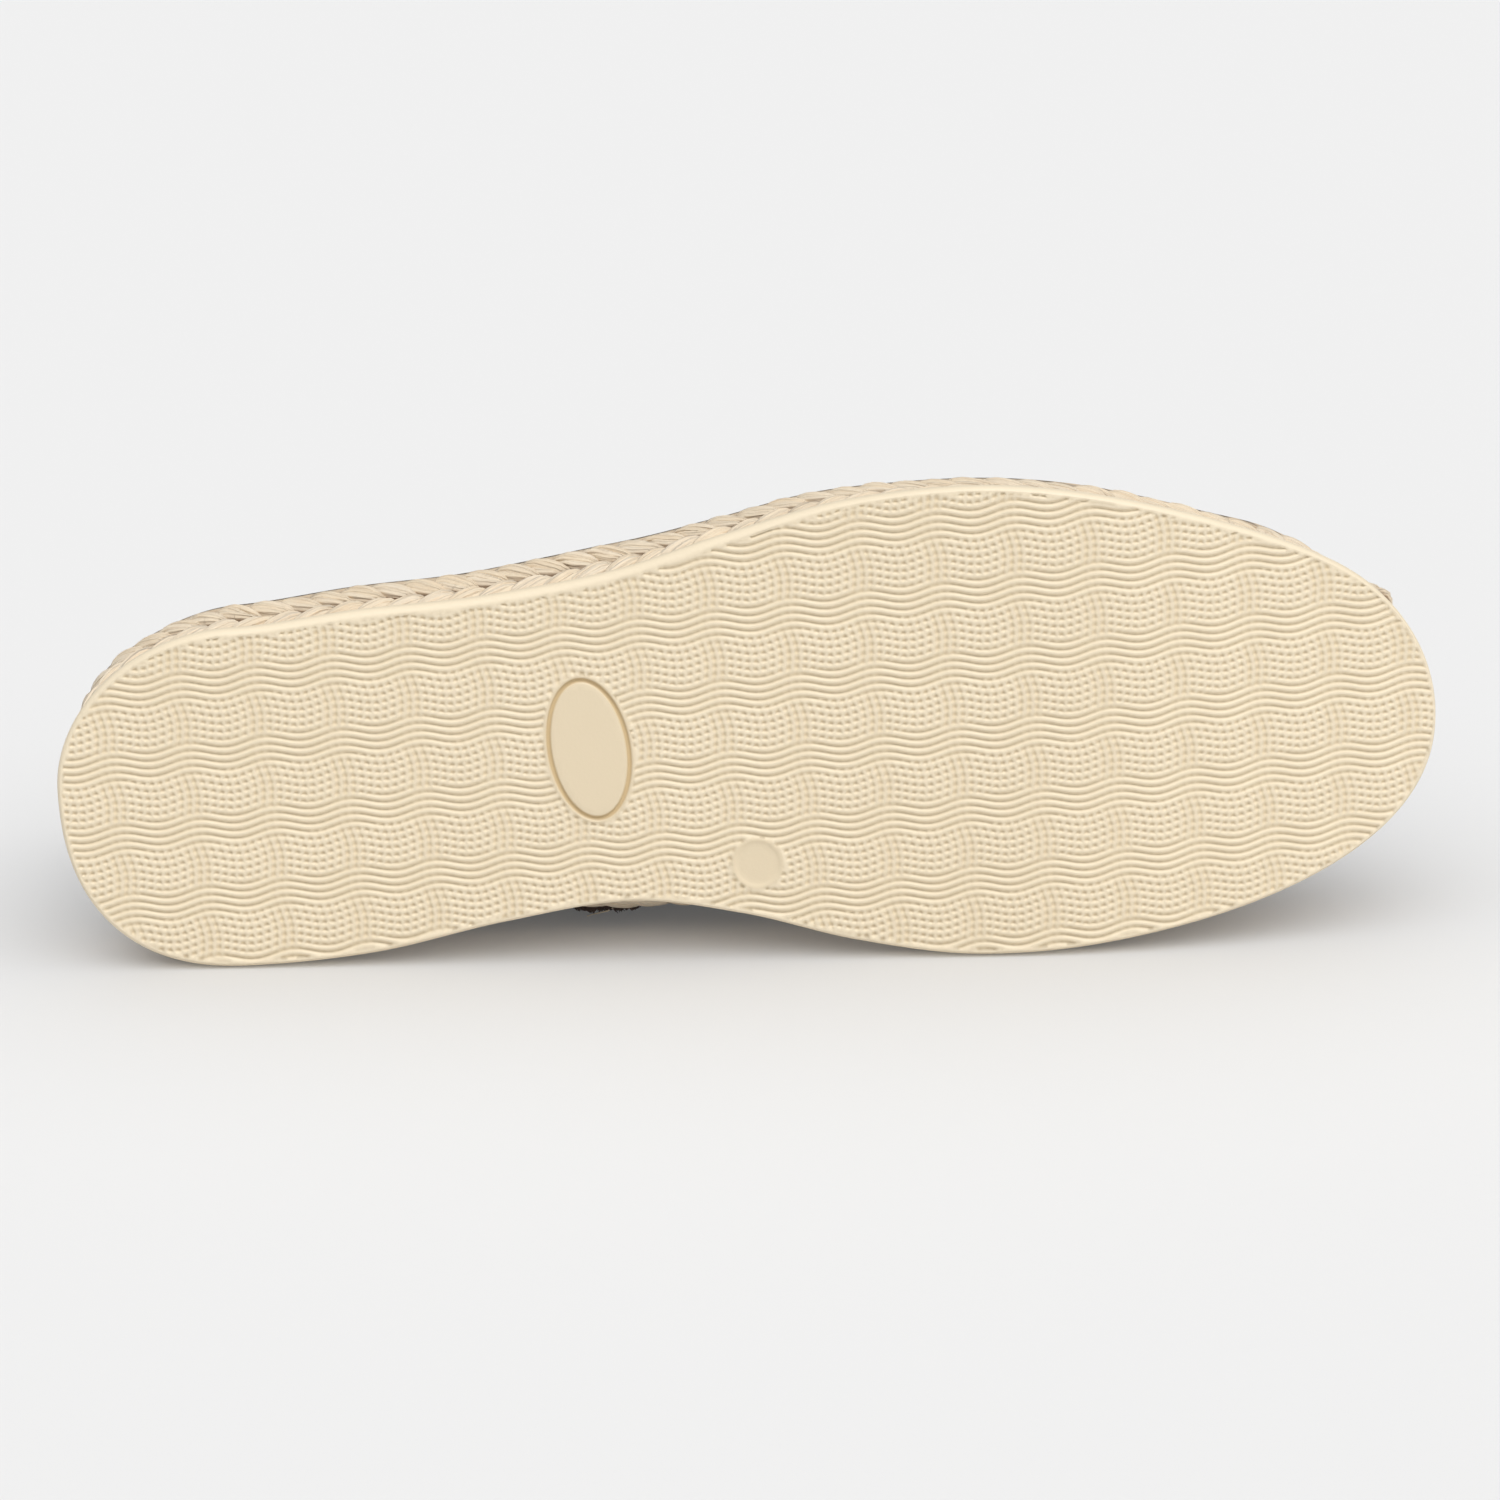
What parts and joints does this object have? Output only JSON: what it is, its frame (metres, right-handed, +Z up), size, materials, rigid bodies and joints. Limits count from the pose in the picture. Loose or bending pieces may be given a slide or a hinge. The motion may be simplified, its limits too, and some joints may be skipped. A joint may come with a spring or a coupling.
{
  "type": "espadrille",
  "caption": "Right-foot espadrille lying on its inner side: cream rubber outsole, plaited jute midsole, insole and a dark canvas slip-on upper with an open collar.",
  "frame": {"origin": "middle of the bounding box's underside, on the floor that the shoe lies on", "axes": "+X from heel to toe, +Z up towards the outer side of the foot, +Y from the tread to the collar; the sole leans back 9 degrees from upright"},
  "size_m": [0.2858, 0.0864, 0.0966],
  "materials": {
    "rubber": "matt cream rubber with a fine wavy tread",
    "jute": "plaited natural jute, dry and hairy",
    "sock": "plain woven sock lining",
    "canvas": "plain dark woven canvas"
  },
  "bodies": {
    "root": {"outsole": "rubber", "jute_midsole": "jute", "insole": "sock", "upper": "canvas"}
  },
  "joints": []
}
